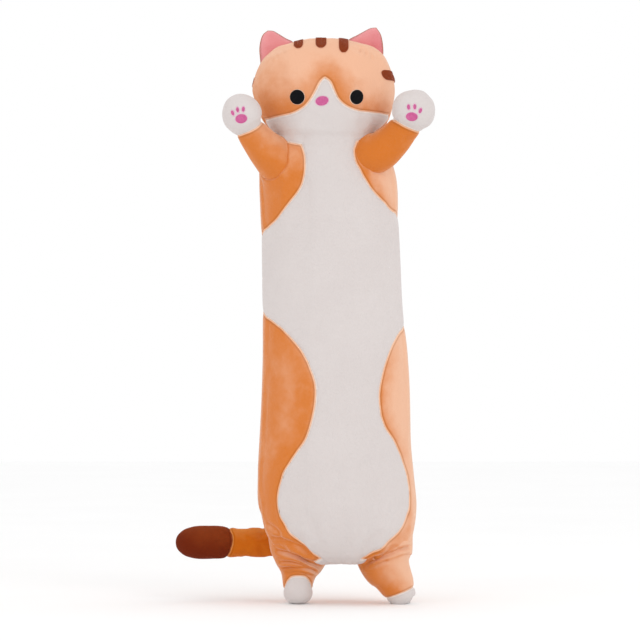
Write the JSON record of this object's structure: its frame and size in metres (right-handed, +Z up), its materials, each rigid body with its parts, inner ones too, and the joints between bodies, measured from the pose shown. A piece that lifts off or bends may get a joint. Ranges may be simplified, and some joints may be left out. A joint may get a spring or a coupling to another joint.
{
  "type": "plush cat",
  "caption": "Long slim stuffed cat standing on two short legs, arms raised, with a white belly, orange sides, flopping ears and a side tail.",
  "frame": {"origin": "on the floor under the middle of the bounding box, level with both soles", "axes": "+Z up along the body, the face looks along -Y, +X is the cat's own left"},
  "size_m": [0.403, 0.2284, 0.9],
  "materials": {
    "white_plush": "short-pile velvet plush",
    "orange_plush": "short-pile velvet plush",
    "pink_plush": "short-pile velvet plush",
    "brown_plush": "short-pile velvet plush",
    "magenta_embroidery": "satin-stitch embroidery",
    "brown_embroidery": "satin-stitch embroidery",
    "black_embroidery": "satin-stitch embroidery",
    "filling": "polyester fibre filling"
  },
  "bodies": {
    "torso": {"belly_panel": "white_plush", "side_panel_left": "orange_plush", "side_panel_right": "orange_plush", "body_stuffing": "filling"},
    "head": {"muzzle_panel": "white_plush", "forehead_panel": "orange_plush", "head_back_panel": "orange_plush", "head_stuffing": "filling", "eye_left": "black_embroidery", "eye_right": "black_embroidery", "nose": "magenta_embroidery", "crown_stripes": "brown_embroidery", "cheek_stripe_left": "brown_embroidery", "cheek_stripe_right": "brown_embroidery"},
    "ear_left": {"ear_left_front": "pink_plush", "ear_left_back": "orange_plush"},
    "ear_right": {"ear_right_front": "pink_plush", "ear_right_back": "orange_plush"},
    "arm_left": {"arm_left_sleeve": "orange_plush", "arm_left_paw": "white_plush", "arm_left_palm_pad": "magenta_embroidery", "arm_left_toe_pads": "magenta_embroidery", "arm_left_stuffing": "filling"},
    "arm_right": {"arm_right_sleeve": "orange_plush", "arm_right_paw": "white_plush", "arm_right_palm_pad": "magenta_embroidery", "arm_right_toe_pads": "magenta_embroidery", "arm_right_stuffing": "filling"},
    "leg_left": {"leg_left_sleeve": "orange_plush", "leg_left_toe_cap": "white_plush", "leg_left_stuffing": "filling"},
    "leg_right": {"leg_right_sleeve": "orange_plush", "leg_right_toe_cap": "white_plush", "leg_right_stuffing": "filling"},
    "tail": {"tail_sleeve": "orange_plush", "tail_tip": "brown_plush", "tail_stuffing": "filling"}
  },
  "joints": [
    {"name": "neck_nod", "type": "hinge", "parent": "torso", "child": "head", "pos_m": [0.03703, 0.019, 0.715], "axis": [1, 0, 0], "range_deg": [-14, 6], "stiffness_Nm_per_rad": 2.5},
    {"name": "arm_left_raise", "type": "hinge", "parent": "torso", "child": "arm_left", "pos_m": [0.09966, -0.044, 0.697], "axis": [0, -1, 0], "range_deg": [-60, 4], "stiffness_Nm_per_rad": 0.4},
    {"name": "arm_right_raise", "type": "hinge", "parent": "torso", "child": "arm_right", "pos_m": [-0.02434, -0.044, 0.697], "axis": [0, 1, 0], "range_deg": [-60, 4], "stiffness_Nm_per_rad": 0.4},
    {"name": "leg_left_splay", "type": "hinge", "parent": "torso", "child": "leg_left", "pos_m": [0.125, 0.011, 0.11], "axis": [0, -1, 0], "range_deg": [-8, 25], "stiffness_Nm_per_rad": 3},
    {"name": "leg_right_splay", "type": "hinge", "parent": "torso", "child": "leg_right", "pos_m": [-0.009, 0.011, 0.11], "axis": [0, 1, 0], "range_deg": [-8, 25], "stiffness_Nm_per_rad": 3},
    {"name": "tail_swing", "type": "hinge", "parent": "torso", "child": "tail", "pos_m": [-0.011, 0.082, 0.096], "axis": [0, 0, -1], "range_deg": [-5, 70], "stiffness_Nm_per_rad": 0.15},
    {"name": "ear_left_flop", "type": "hinge", "parent": "head", "child": "ear_left", "pos_m": [0.095, 0.019, 0.8635], "axis": [0.8749, 0, -0.4843], "range_deg": [-30, 30], "stiffness_Nm_per_rad": 0.05},
    {"name": "ear_right_flop", "type": "hinge", "parent": "head", "child": "ear_right", "pos_m": [-0.0425, 0.019, 0.8585], "axis": [0.8575, 0, 0.5145], "range_deg": [-30, 30], "stiffness_Nm_per_rad": 0.05}
  ]
}
